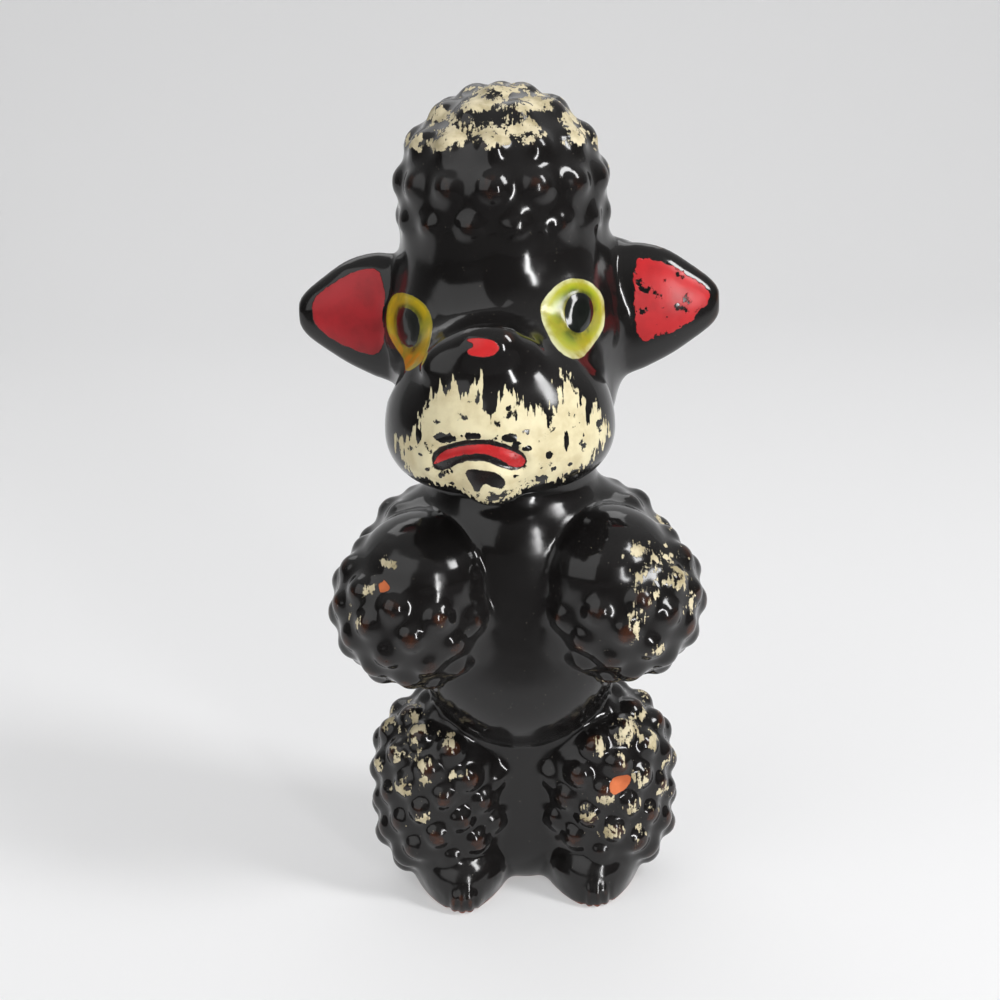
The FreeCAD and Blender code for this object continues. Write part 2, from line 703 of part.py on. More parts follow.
doc.recompute()
for item in doc.Objects:
    if "Invalid" in item.State or "Error" in item.State:
        raise RuntimeError(f"{item.Name} failed: {item.State}")
for name, item in parts.items():
    item.Label = name
    if item.Shape.isNull() or not item.Shape.isValid() or not item.Shape.Solids:
        raise RuntimeError(f"{name} has no sound solid")
os.makedirs("parts", exist_ok=True)
for name, item in parts.items():
    item.Shape.exportStep(f"parts/{name}.step")
    print(name, len(item.Shape.Solids), "solids,", len(item.Shape.Faces), "faces,",
          round(item.Shape.Volume), "mm3")
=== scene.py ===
import bpy
import math
import numpy as np
from mathutils import Matrix, Vector
from mathutils.bvhtree import BVHTree


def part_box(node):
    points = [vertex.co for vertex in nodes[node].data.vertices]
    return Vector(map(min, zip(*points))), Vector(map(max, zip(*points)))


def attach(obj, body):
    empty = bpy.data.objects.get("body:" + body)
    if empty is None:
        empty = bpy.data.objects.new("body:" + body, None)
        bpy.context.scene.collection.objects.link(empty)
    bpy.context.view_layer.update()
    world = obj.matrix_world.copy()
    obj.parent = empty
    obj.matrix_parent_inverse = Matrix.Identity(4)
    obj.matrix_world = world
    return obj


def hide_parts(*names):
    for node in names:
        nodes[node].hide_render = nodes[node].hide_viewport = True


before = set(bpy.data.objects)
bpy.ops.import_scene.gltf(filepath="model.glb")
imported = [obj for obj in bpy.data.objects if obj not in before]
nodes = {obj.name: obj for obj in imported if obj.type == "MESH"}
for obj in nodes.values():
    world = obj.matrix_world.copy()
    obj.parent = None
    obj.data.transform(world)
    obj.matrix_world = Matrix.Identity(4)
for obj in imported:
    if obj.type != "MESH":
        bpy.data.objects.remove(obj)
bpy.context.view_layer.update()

bpy.ops.object.select_all(action="DESELECT")

# the photo's camera: metres, degrees and mm of lens
view = {"place": (0.0, -0.358, 0.190), "pitch": 16.6, "roll": 2.0, "lens": 66.96, "sensor": 36,
        "shiftX": -0.014, "nearest": 0.01}


def basisFrom(pitch, roll):
    p, r = math.radians(pitch), math.radians(roll)
    forward = Vector((0, math.cos(p), -math.sin(p)))
    right, up = Vector((1, 0, 0)), Vector((0, math.sin(p), math.cos(p)))
    return math.cos(r) * right - math.sin(r) * up, math.sin(r) * right + math.cos(r) * up, forward


right, up, forward = basisFrom(view["pitch"], view["roll"])
bpy.ops.object.camera_add(location=view["place"])
camera = bpy.context.object
turned = Matrix((right, up, -forward)).transposed().to_4x4()
camera.matrix_world = Matrix.Translation(view["place"]) @ turned
camera.data.sensor_width = view["sensor"]
camera.data.lens = view["lens"]
camera.data.shift_x = view["shiftX"]
camera.data.clip_start = view["nearest"]
bpy.context.scene.camera = camera

# soft windows: place and size in metres, power in watts
windows = {"window": ((0.55, -0.30, 0.62), (0.16, 0.42), 4.5),
           "sidePane": ((0.33, -0.72, 0.18), (0.06, 0.42), 2.8),
           "roomFill": ((-0.60, -0.55, 0.55), (0.9, 0.9), 2.8),
           "backFill": ((-0.1, 0.55, 0.75), (0.9, 0.4), 1.6)}
windowTarget = Vector((0, 0, 0.09))
for name, (place, size, power) in windows.items():
    bpy.ops.object.light_add(type="AREA", location=place)
    lamp = bpy.context.object
    lamp.name = name
    lamp.data.shape = "RECTANGLE"
    lamp.data.size, lamp.data.size_y = size
    lamp.data.energy = power
    lamp.visible_camera = False
    lamp.rotation_euler = (windowTarget - Vector(place)).to_track_quat("-Z", "Y").to_euler()

# a pale cloth that runs up behind the figure, in metres
sweep = {"width": 3.2, "depth": 2.2, "height": 1.6, "bend": 0.5, "segments": 16}
backLine = sweep["depth"] / 2
nearLine = 0.01  # what counts as on a line


def selectEdges(mesh, test):
    for edge in mesh.edges:
        edge.select = all(test(mesh.vertices[i].co) for i in edge.vertices)


bpy.ops.mesh.primitive_plane_add(size=1, location=(0, 0, 0))
cloth = bpy.context.object
cloth.name = "paleSweep"
bpy.ops.object.mode_set(mode="EDIT")
bpy.ops.transform.resize(value=(sweep["width"], sweep["depth"], 1))
bpy.ops.mesh.select_all(action="DESELECT")
bpy.ops.object.mode_set(mode="OBJECT")
selectEdges(cloth.data, lambda spot: spot.y > backLine - nearLine)
bpy.ops.object.mode_set(mode="EDIT")
bpy.ops.mesh.select_mode(type="EDGE")
bpy.ops.mesh.extrude_region_move(TRANSFORM_OT_translate={"value": (0, 0, sweep["height"])})
bpy.ops.mesh.select_all(action="DESELECT")
bpy.ops.object.mode_set(mode="OBJECT")
selectEdges(cloth.data, lambda spot: abs(spot.y - backLine) < nearLine and spot.z < nearLine)
bpy.ops.object.mode_set(mode="EDIT")
bpy.ops.mesh.bevel(offset=sweep["bend"], segments=sweep["segments"])
bpy.ops.object.mode_set(mode="OBJECT")
bpy.ops.object.shade_smooth()
bpy.ops.object.select_all(action="DESELECT")
print("camera, lamps and sweep")

# the fired skin: every glazed section is melted into one surface, in metres
skinParts = {"glazed": ["torso", "head", "topknot", "foreleg_left", "foreleg_right", "hind_leg_left",
                        "hind_leg_right", "paw_left", "paw_right", "tail", "ear_left", "ear_right"],
             "raised": ["eye_left", "eye_right", "pupil_left", "pupil_right"],
             "voxel": 0.00052, "doubles": 1e-6,
             "ventPlace": (0, 0.008, 0.002), "ventRadius": 0.0048, "ventDepth": 0.004}
# slip that filled the corners: place, half sizes and the lean about Y, in mm and degrees
filler = [((9, 1, 82), (12, 10, 8), 0), ((-9, 1, 82), (12, 10, 8), 0),
          ((14.6, -1, 71.4), (15.3, 14.5, 15.6), 0), ((-14.6, -1, 71.4), (15.3, 14.5, 15.6), 0),
          ((17.6, -12.6, 72.4), (13.8, 14.4, 12.8), 0), ((-18.0, -12.6, 72.4), (13.8, 14.4, 12.8), 0),
          ((-0.6, -2.0, 119), (23.3, 17.5, 15), 0), ((22.5, 2.5, 129.5), (9, 5, 5), 32),
          ((-4.4, -32.0, 117.2), (11.5, 5.5, 8.6), 0),
          ((13.9, -4.5, 5.0), (9.6, 11.2, 8.2), 0), ((-13.5, -5.0, 5.0), (9.6, 11.6, 8.2), 0),
          ((13.9, -11.2, 2.8), (5.6, 5.6, 4.4), 0), ((-13.2, -12.2, 2.8), (5.6, 5.6, 4.4), 0)]

twins = []
for name in skinParts["glazed"] + skinParts["raised"]:
    twin = bpy.data.objects.new("twin_" + name, nodes[name].data.copy())
    bpy.context.collection.objects.link(twin)
    twins.append(twin)
bpy.ops.mesh.primitive_cylinder_add(radius=skinParts["ventRadius"], depth=skinParts["ventDepth"],
                                    location=skinParts["ventPlace"])
twins.append(bpy.context.object)
for place, halves, lean in filler:
    bpy.ops.mesh.primitive_uv_sphere_add(segments=32, ring_count=16, radius=0.001,
                                         location=[c / 1000 for c in place], scale=halves,
                                         rotation=(0, math.radians(lean), 0))
    twins.append(bpy.context.object)
bpy.ops.object.select_all(action="DESELECT")
for twin in twins:
    twin.select_set(True)
bpy.context.view_layer.objects.active = twins[0]
bpy.ops.object.transform_apply(location=True, rotation=True, scale=True)
bpy.ops.object.join()
skin = bpy.context.object
skin.name = "skin"
bpy.ops.object.mode_set(mode="EDIT")
bpy.ops.mesh.select_all(action="SELECT")
bpy.ops.mesh.remove_doubles(threshold=skinParts["doubles"])
bpy.ops.object.mode_set(mode="OBJECT")
melt = skin.modifiers.new("melt", "REMESH")
melt.mode = "VOXEL"
melt.voxel_size = skinParts["voxel"]
bpy.ops.object.modifier_apply(modifier="melt")
skin.data.materials.clear()
print("skin melted", len(skin.data.polygons))


def readFlat(items, key, width=1, kind=np.float64):
    # one property of many items, as rows of a table
    flat = np.empty(len(items) * width, dtype=kind)
    items.foreach_get(key, flat)
    return flat.reshape(-1, width) if width > 1 else flat


def writePoints(mesh, points):
    mesh.vertices.foreach_set("co", points.ravel())
    mesh.update()


pairs = readFlat(skin.data.edges, "vertices", 2, np.int64)
count = len(skin.data.vertices)
ends = np.concatenate([pairs[:, 0], pairs[:, 1]])
others = np.concatenate([pairs[:, 1], pairs[:, 0]])
degree = np.bincount(ends, minlength=count).clip(1)[:, None]


def middles(values, starts, stops, size):
    # the sum of each point's neighbours, column by column
    return np.stack([np.bincount(starts, column[stops], minlength=size) for column in values.T], 1)


def relax(values, rounds, pull=0.5):
    # each point moves towards the middle of its neighbours
    out = values.copy()
    for _ in range(rounds):
        out += (middles(out, ends, others, count) / degree - out) * pull
    return out


def relaxNear(points, middle, reach, rounds, margin=2, fade=3, pull=0.5):
    # the same, on the points within reach of one spot, in mm
    away = np.sqrt(((points * 1000 - np.array(middle)) ** 2).sum(1))
    near = away < reach + margin
    index = np.cumsum(near) - 1
    both = near[pairs[:, 0]] & near[pairs[:, 1]]
    first, second = index[pairs[both, 0]], index[pairs[both, 1]]
    starts, stops = np.concatenate([first, second]), np.concatenate([second, first])
    size = int(near.sum())
    joined = np.bincount(starts, minlength=size).clip(1)[:, None]
    pull = ((1 - away[near] / reach) * fade).clip(0, 1)[:, None] * pull
    out = points[near]
    for _ in range(rounds):
        out += (middles(out, starts, stops, size) / joined - out) * pull
    result = points.copy()
    result[near] = out
    return result


def fillCreases(points, rounds, weight, refresh=8, lift=0.6):
    # slip and glaze gather in the hollows: only a dip moves outwards
    out = points.copy()
    for step in range(rounds):
        if step % refresh == 0:
            writePoints(skin.data, out)
            normals = readFlat(skin.data.vertices, "normal", 3)
        dip = (((middles(out, ends, others, count) / degree - out) * normals).sum(1)).clip(0, None)
        out += normals * (dip * weight)[:, None] * lift
    return out


# how far each skin point is from each section, in metres, where it is near
sectionReach = 0.006
points = readFlat(skin.data.vertices, "co", 3)
gapTo = {}
for name in skinParts["glazed"]:
    mesh = nodes[name].data
    tree = BVHTree.FromPolygons([v.co for v in mesh.vertices], [p.vertices for p in mesh.polygons])
    low, high = (np.array(corner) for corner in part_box(name))
    near = np.where(((points > low - sectionReach) & (points < high + sectionReach)).all(1))[0]
    gaps = np.full(count, 1.0)
    for i in near:
        gaps[i] = tree.find_nearest(points[i])[3]
    gapTo[name] = gaps
print("sections matched")

# how the slip and the glaze soften the shape, in mm and rounds
softening = {
    "smoothRounds": 5, "curlReach": 1.5, "pull": 0.5,
    # seams that are filled: the two sections, reach and rounds
    "seams": [("head", "ear_left", 5.0, 70), ("head", "ear_right", 5.0, 70), ("torso", "head", 3.5, 50),
              ("torso", "foreleg_left", 4.0, 50), ("torso", "foreleg_right", 4.0, 50),
              ("torso", "hind_leg_left", 2.4, 25), ("torso", "hind_leg_right", 2.4, 25),
              ("hind_leg_left", "paw_left", 2.4, 25), ("hind_leg_right", "paw_right", 2.4, 25),
              ("head", "topknot", 1.5, 10), ("torso", "tail", 2.0, 15)],
    # sections worn soft: rounds that smooth, rounds that fill
    "worn": {"topknot": (5, 120), "foreleg_left": (4, 75), "foreleg_right": (4, 75),
             "hind_leg_left": (3, 11), "hind_leg_right": (3, 11), "head": (2, 240),
             "paw_left": (8, 60), "paw_right": (8, 60)},
    # where the nose and the eyes' seats run into the face: place, reach and rounds
    "calmed": [((-4.6, -34, 121), 11, 90), ((-18.6, -14, 121), 12, 150), ((12.2, -17, 124), 12, 220),
               ((9.0, -20, 119), 9, 120), ((-18.8, -16, 116), 9, 260),
               ((7.2, -20, 125), 8, 300), ((-21.5, -12, 118.5), 8, 260)]}
points = relax(points, softening["smoothRounds"])
for one, other, reach, rounds in softening["seams"]:
    weight = (1 - np.maximum(gapTo[one], gapTo[other]) / (reach / 1000)).clip(0, 1)[:, None]
    points = relax(points, rounds, weight * softening["pull"])
for name, (smoothRounds, fillRounds) in softening["worn"].items():
    weight = (1 - gapTo[name] / (softening["curlReach"] / 1000)).clip(0, 1)
    points = fillCreases(points, fillRounds, weight)
    points = relax(points, smoothRounds, weight[:, None] * softening["pull"])
for middle, reach, rounds in softening["calmed"]:
    points = relaxNear(points, middle, reach, rounds)

# the feet taper to a blunt point in front, in mm
feet = {"toes": (13.7, -13.2), "narrowing": 0.22, "height": 12, "from": 2, "length": 14, "top": 14}
for toeX in feet["toes"]:
    mine = (np.sign(points[:, 0]) == np.sign(toeX)) & (points[:, 1] < -feet["from"] / 1000)
    mine &= points[:, 2] < feet["top"] / 1000
    low = (1 - (points[:, 2] * 1000 / feet["height"]).clip(0, 1)) * mine
    front = ((-points[:, 1] * 1000 - feet["from"]) / feet["length"]).clip(0, 1)
    keep = 1 - feet["narrowing"] * front * low
    points[:, 0] = (points[:, 0] - toeX / 1000) * keep + toeX / 1000
points[:, 2] = points[:, 2].clip(0, None)
writePoints(skin.data, points)
print("seams filled")

# outlines of the paint, seen from the front, x and z in mm
paint = {
    "cream": [(-21.1, 105.5), (-19.8, 105.2), (-18.0, 106.2), (-16.6, 108.1), (-15.9, 111.2),
              (-14.5, 112.5), (-13.8, 113.4), (-12.1, 115.6), (-11.5, 114.6), (-10.1, 117.4),
              (-8.8, 115.1), (-7.6, 113.8), (-6.2, 116.1), (-4.8, 117.8), (-4.6, 115.2), (-5.2, 114.9),
              (-3.8, 110.5), (-2.0, 114.6), (-0.7, 115.7), (0.5, 113.9), (2.4, 112.0), (4.0, 111.0),
              (5.6, 110.1), (6.5, 109.1), (7.2, 115.1), (7.9, 110.4), (9.2, 116.4), (10.8, 114.7),
              (12.1, 112.9), (13.3, 110.6), (13.9, 107.2), (14.8, 110.8), (15.8, 109.2), (16.8, 107.9),
              (17.9, 105.4), (17.8, 103.7), (16.2, 102.6), (14.7, 100.3), (12.6, 99.0), (9.2, 98.6),
              (9.0, 97.4), (5.2, 98.0), (3.6, 97.3), (1.0, 96.6), (-0.4, 95.6), (-3.0, 95.0),
              (-5.5, 95.0), (-7.8, 95.8), (-11.0, 97.2), (-14.3, 97.7), (-17.7, 98.1), (-19.4, 99.3),
              (-20.6, 102.5)],
    "mouth": [(-14.8, 100.9), (-13.4, 103.7), (-9.9, 105.5), (-4.5, 106.1), (-1.0, 105.1), (2.4, 103.2),
              (2.2, 101.3), (-0.2, 101.6), (-2.2, 103.2), (-5.0, 104.4), (-9.2, 103.9), (-12.0, 102.8)],
    # the outline of the carved mouth groove and of the dark band round the mouth, which is painted
    # groove shade above the red
    "mouthLine": [(-14.7, 100.7), (-12.1, 100.4), (-9.2, 102.8), (-4.0, 102.9), (-1.5, 101.2),
                  (2.3, 100.9), (2.6, 103.9), (-0.8, 106.0), (-4.5, 107.0), (-10.3, 106.4),
                  (-14.5, 104.2)],
    "chinChip": [(-8.7, 100.9), (-6.4, 101.7), (-3.1, 101.2), (-0.9, 99.2), (-1.7, 97.8), (-3.7, 98.0),
                 (-5.3, 99.2), (-6.4, 96.6), (-7.7, 98.7)],
    "nose": [(-7.4, 124.0), (-4.9, 124.2), (-2.7, 124.0), (-1.6, 122.8), (-1.9, 121.9), (-3.0, 121.0),
             (-6.9, 121.0), (-7.4, 122.2), (-6.3, 122.6), (-6.2, 123.4), (-7.2, 123.6)],
    "eyeRight": [(-18.9, 127.9), (-15.8, 127.2), (-13.7, 124.2), (-14.3, 120.0), (-16.8, 117.1),
                 (-19.2, 115.8), (-21.2, 116.5), (-22.8, 118.4), (-23.5, 121.2), (-23.0, 124.5),
                 (-21.4, 126.8)],
    "pupilRight": [(-18.9, 125.4), (-17.0, 124.8), (-16.1, 122.4), (-16.9, 119.6), (-18.9, 118.2),
                   (-20.7, 119.0), (-21.3, 121.6), (-20.6, 124.4)],
    "eyeLeft": [(12.6, 130.8), (15.8, 129.4), (18.0, 126.4), (18.4, 122.6), (17.8, 119.6), (14.6, 117.2),
                (11.0, 117.9), (8.0, 120.4), (6.2, 123.8), (5.8, 126.6), (8.2, 129.2), (10.2, 130.4)],
    "pupilLeft": [(13.3, 128.2), (15.3, 127.0), (16.2, 124.3), (15.4, 121.8), (13.2, 120.6),
                  (11.0, 122.0), (10.2, 124.8), (11.2, 127.4)],
    "earRight": [(-23.3, 131.3), (-29.6, 130.4), (-33.9, 128.1), (-37.4, 125.6), (-38.3, 123.7),
                 (-38.2, 120.5), (-35.8, 117.6), (-30.5, 114.8), (-24.0, 113.5)],
    "earLeft": [(24.6, 132.3), (29.8, 131.3), (34.7, 128.5), (37.7, 126.4), (39.2, 124.2), (37.2, 121.2),
                (33.1, 118.0), (28.5, 115.9), (24.7, 116.1), (24.2, 125.6)],
    "thighChip": [(17.2, 27.3), (18.9, 28.6), (21.4, 28.4), (22.0, 26.8), (20.8, 25.0), (18.6, 24.3),
                  (17.3, 25.5)],
    "puffChip": [(-26.3, 74.6), (-25.2, 75.9), (-24.4, 75.2), (-23.8, 74.2), (-25.0, 73.7),
                 (-26.0, 73.3)],
}
# dry brush on the curls: x, z and half sizes in mm
dabs = [(-11.0, 160.1, 4.2, 1.7), (-2.7, 162.6, 4.5, 1.8), (6.5, 162.2, 4, 1.7), (12.9, 158.5, 2.2, 1.8),
        (-0.1, 164.3, 7, 0.9), (-15.5, 155.3, 2.5, 1.6), (14.0, 155.8, 3, 1.6), (18.2, 153.6, 2, 1.6),
        (-8.6, 157.0, 4.2, 2.2), (-2.0, 157.5, 6, 2.4), (3.6, 157.8, 4.2, 2.4), (-11.6, 155.6, 2.0, 1.3),
        (-21.2, 39.1, 4, 2), (-25.7, 36.4, 3.5, 2), (-15.0, 36.9, 3.2, 1.5), (-22.4, 33.6, 5, 3),
        (-29.6, 29.0, 2, 2), (-25.9, 25.9, 3.2, 2.4), (-21.1, 28.1, 3.5, 2), (-14.5, 29.6, 3.5, 1.6),
        (-24.0, 17.8, 1.4, 1.6), (-20.0, 20.1, 3.2, 2), (23.7, 37.5, 3.2, 2), (20.9, 35.3, 4, 4),
        (16.0, 34.3, 2, 2.4), (26.9, 33.9, 2.4, 2.4), (23.3, 27.5, 2.8, 2.4), (29.5, 26.7, 2.4, 2),
        (28.3, 21.6, 2, 3.2), (12.7, 20.9, 2.6, 2.6), (17.1, 22.7, 3, 1.8), (23.1, 21.1, 3, 2),
        (16.8, 16.0, 3, 2.2), (23.3, 15.3, 2, 1.9), (23.4, 79.3, 3.5, 1.4), (28.5, 77.0, 3.2, 2.8),
        (23.9, 75.0, 3.8, 2.4), (26.2, 71.5, 1.6, 4.2), (23.1, 67.0, 3, 3.6), (30.7, 73.1, 3.2, 2.8),
        (33.1, 68.1, 1.6, 3.2), (26.8, 60.5, 1.8, 1.6), (-28.0, 73.5, 2.0, 1.6), (-31.5, 68.0, 1.4, 2.2),
        (-24.5, 78.5, 2.2, 1.2)]
# where the cream has flaked off in scraps: x, z and half sizes in mm
flakes = [(-11.9, 106.8, 2.1, 0.9), (-6.9, 107.4, 1.9, 0.7), (-0.3, 107.0, 1.4, 0.8),
          (0.9, 106.0, 0.8, 0.5), (2.5, 104.9, 0.9, 0.45), (-3.6, 112.8, 1.1, 1.8),
          (-0.4, 112.0, 0.5, 0.4), (0.9, 110.4, 0.25, 0.8), (6.6, 103.2, 0.7, 0.8),
          (9.6, 105.1, 0.4, 1.7), (-16.7, 106.6, 0.6, 1.2), (-16.4, 103.2, 0.4, 0.4),
          (15.8, 106.6, 0.5, 0.6), (-11.0, 98.0, 0.5, 0.4), (7.3, 100.4, 0.5, 0.4),
          (10.3, 100.6, 0.7, 0.4), (0.4, 99.9, 0.5, 0.3), (-6.2, 113.3, 0.3, 0.3),
          (4.9, 98.6, 1.2, 0.7), (13.0, 105.5, 0.3, 0.3)]


def roundOff(outline, rounds):
    # corners are cut so that a listed outline runs in a curve
    path = np.array(outline, float)
    for _ in range(rounds):
        after = np.roll(path, -1, axis=0)
        path = np.stack([path * 0.75 + after * 0.25, path * 0.25 + after * 0.75], 1).reshape(-1, 2)
    return path


def insideBy(spots, outline):
    # how far inside an outline each spot is, in mm; outside it is less than nothing
    a = np.array(outline, float)
    edge = np.roll(a, -1, axis=0) - a
    apart = spots[:, None, :] - a[None]
    along = ((apart * edge).sum(-1) / (edge ** 2).sum(-1)).clip(0, 1)
    reach = np.sqrt(((apart - along[..., None] * edge) ** 2).sum(-1)).min(1)
    b = a + edge
    x, z = spots[:, :1], spots[:, 1:]
    rise = np.where(np.abs(edge[:, 1]) < 1e-9, 1e-9, edge[:, 1])
    crossing = ((a[:, 1] > z) != (b[:, 1] > z)) & (x < edge[:, 0] * (z - a[:, 1]) / rise + a[:, 0])
    return np.where(crossing.sum(1) % 2 == 1, reach, -reach)


points = readFlat(skin.data.vertices, "co", 3)
normals = readFlat(skin.data.vertices, "normal", 3)
millimetres = points * 1000
frontSpots = millimetres[:, [0, 2]]
# where paint may lie, in mm, and how often an outline's corners are cut
lay = {"margin": 4, "batch": 20000, "farBack": 6, "facing": 0.25, "roundings": 2, "leftSharp": ["cream"]}
toFront = (millimetres[:, 1] < lay["farBack"]) & (normals[:, 1] < lay["facing"])
farOut, farIn = -9.0, 9.0  # what spots beyond the margin are given
edges = {}
for name, outline in paint.items():
    outline = roundOff(outline, 0 if name in lay["leftSharp"] else lay["roundings"])
    low, high = outline.min(axis=0) - lay["margin"], outline.max(axis=0) + lay["margin"]
    near = np.where(((frontSpots > low) & (frontSpots < high)).all(1) & toFront)[0]
    edges[name] = np.full(count, farOut)
    for start in range(0, len(near), lay["batch"]):
        part = near[start:start + lay["batch"]]
        edges[name][part] = insideBy(frontSpots[part], outline)
eyePairs = (("eyeLeft", "pupilLeft"), ("eyeRight", "pupilRight"))

# carving, in mm: how deep or high, how far inside its outline, how wide
carving = {"mouthDepth": 0.55, "mouthPlace": 0.5, "mouthWidth": 0.5, "mouthReach": -3,
           "lipRise": 0.35, "lipPlace": -1.2, "lipWidth": 0.9,
           "eyeRim": 0.15, "rimPlace": 0.1, "rimWidth": 0.55, "pupilRise": 0.5, "pupilSlope": 1.2,
           "pupilStart": 0.2, "softRounds": 4,
           "toes": (17.0, 15.2, 13.4, 11.6, -10.9, -12.7, -14.5, -16.3), "toeDepth": 0.42,
           "toeWidth": 0.42, "toeHeight": 7, "toeFront": -6}


def bell(values, middle, width):
    return np.exp(-((values - middle) / width) ** 2)


push = np.zeros(count)
lips = edges["mouthLine"]
groove = carving["mouthDepth"] * bell(lips, carving["mouthPlace"], carving["mouthWidth"])
push -= groove * (lips > carving["mouthReach"])
push += carving["lipRise"] * bell(lips, carving["lipPlace"], carving["lipWidth"])
for eye, pupil in eyePairs:
    push += carving["eyeRim"] * bell(edges[eye], carving["rimPlace"], carving["rimWidth"])
    rise = edges[pupil] / carving["pupilSlope"] + carving["pupilStart"]
    push += carving["pupilRise"] * rise.clip(0, 1)
push = relax(push[:, None], carving["softRounds"])[:, 0]
lowFront = (millimetres[:, 1] < carving["toeFront"]) * (millimetres[:, 2] < carving["toeHeight"])
for toeX in carving["toes"]:
    groove = bell(millimetres[:, 0], toeX, carving["toeWidth"]) * lowFront
    push -= carving["toeDepth"] * groove * (1 - millimetres[:, 2] / carving["toeHeight"]).clip(0, 1)
points = points + normals * (push[:, None] / 1000)
points[:, 2] = points[:, 2].clip(0, None)
writePoints(skin.data, points)
print("mouth, eyes and toes carved")

# what the glaze needs to know at each point, in mm
brush = {"heights": [0, 45, 55, 90, 140, 150], "loads": [0.62, 0.66, 0.68, 0.68, 1.0, 1.0],
         "falloff": 0.9, "back": 12, "facing": 0.5, "scrapEdge": 7}
curlTips = {"calmRounds": 24, "softRounds": 2}  # a tip stands out from the calmed skin
soleEdge = 0.7  # the clay is bare up to here
normals = readFlat(skin.data.vertices, "normal", 3)
calm = relax(points, curlTips["calmRounds"])
tip = ((points - calm) * normals).sum(1) * 1000
tip = relax(tip[:, None], curlTips["softRounds"])[:, 0]
millimetres = points * 1000


def awayFrom(x, z, halfX, halfZ):
    return ((millimetres[:, 0] - x) / halfX) ** 2 + ((millimetres[:, 2] - z) / halfZ) ** 2


dab = np.zeros(count)
brushLoad = np.interp(millimetres[:, 2], brush["heights"], brush["loads"])
brushed = (normals[:, 1] < brush["facing"]) & (millimetres[:, 1] < brush["back"])
for x, z, halfX, halfZ in dabs:
    touch = np.exp(-awayFrom(x, z, halfX, halfZ) * brush["falloff"])
    dab = np.maximum(dab, brushLoad * touch * brushed)
scrap = np.full(count, farIn)
for x, z, halfX, halfZ in flakes:
    away = np.sqrt(awayFrom(x, z, halfX, halfZ)) - 1
    scrap = np.minimum(scrap, away * min(halfX, halfZ) * brush["scrapEdge"])
eyeSpan = np.zeros(count)
for eye, pupil in eyePairs:
    inner, outer = (-edges[pupil]).clip(0, None), edges[eye].clip(0, None)
    eyeSpan = np.where(edges[eye] > -1, inner / (inner + outer + 1e-6), eyeSpan)
facts = {"tip": tip, "dab": dab, "eyeSpan": eyeSpan,
         "creamEdge": np.minimum(edges["cream"], np.where(millimetres[:, 1] < 0, scrap, farIn)),
         # lineEdge: inside the dark band round the mouth, painted groove shade above the red and bare
         # black glaze below it
         "lineEdge": edges["mouthLine"], "mouthEdge": edges["mouth"],
         "chinEdge": edges["chinChip"], "noseEdge": edges["nose"],
         "eyeEdge": np.maximum(edges["eyeLeft"], edges["eyeRight"]),
         "pupilEdge": np.maximum(edges["pupilLeft"], edges["pupilRight"]),
         "footEdge": soleEdge - millimetres[:, 2],
         "earEdge": np.maximum(edges["earLeft"], edges["earRight"]),
         "chipEdge": np.maximum(edges["thighChip"], edges["puffChip"])}
for name, values in facts.items():
    layer = skin.data.attributes.new(name, "FLOAT", "POINT")
    layer.data.foreach_set("value", values.astype(np.float32))
shade = skin.data.attributes.new("skinNormal", "FLOAT_VECTOR", "POINT")
shade.data.foreach_set("vector", normals.astype(np.float32).ravel())

# which section each face belongs to: the nearest one, then the paint over it
claims = [("ear_paint_left", facts["earEdge"], 0.6, 1), ("ear_paint_right", facts["earEdge"], 0.6, -1),
          ("muzzle_paint", edges["cream"], 1.6, 0), ("mouth_paint", facts["lineEdge"], 0.2, 0),
          ("nose_paint", facts["noseEdge"], 0.5, 0),
          ("eye_left", facts["eyeEdge"], 0.9, 1), ("eye_right", facts["eyeEdge"], 0.9, -1),
          ("pupil_left", facts["pupilEdge"], 0.3, 1), ("pupil_right", facts["pupilEdge"], 0.3, -1)]
names = skinParts["glazed"] + [claim[0] for claim in claims]
loopStarts = readFlat(skin.data.polygons, "loop_start", 1, np.int64)
loopPoints = readFlat(skin.data.loops, "vertex_index", 1, np.int64)


def overFace(values):
    return np.add.reduceat(values[loopPoints], loopStarts) / 4


border = {"farthest": 0.01, "softRounds": 8}  # the gaps are softened, so that borders run evenly
softGaps = []
for name in skinParts["glazed"]:
    gaps = gapTo[name][:, None].clip(0, border["farthest"])
    softGaps.append(overFace(relax(gaps, border["softRounds"])[:, 0]))
owner = np.argmin(np.stack(softGaps), axis=0)
faceX = overFace(points[:, 0])
for name, values, reach, side in claims:
    mine = overFace(values) > -reach
    if side:
        mine &= faceX * side > 0
    owner[mine] = names.index(name)
print("faces given to sections")


def newGroup(name, inputs, outputs):
    group = bpy.data.node_groups.new(name, "ShaderNodeTree")
    for label, kind, value in inputs:
        socket = group.interface.new_socket(name=label, in_out="INPUT", socket_type=kind)
        if value is not None:
            socket.default_value = value
    for label, kind in outputs:
        group.interface.new_socket(name=label, in_out="OUTPUT", socket_type=kind)
    return group, group.nodes.new("NodeGroupInput"), group.nodes.new("NodeGroupOutput")


def addNode(tree, kind, settings=None, values=None):
    node = tree.nodes.new(kind)
    for key, value in (settings or {}).items():
        setattr(node, key, value)
    for key, value in (values or {}).items():
        node.inputs[key].default_value = value
    return node


def addMath(tree, operation, first, second=None, third=None, clamp=False):
    node = addNode(tree, "ShaderNodeMath", {"operation": operation, "use_clamp": clamp})
    for index, value in enumerate((first, second, third)):
        if value is None:
            continue
        if isinstance(value, (int, float)):
            node.inputs[index].default_value = value
        else:
            tree.links.new(value, node.inputs[index])
    return node.outputs[0]


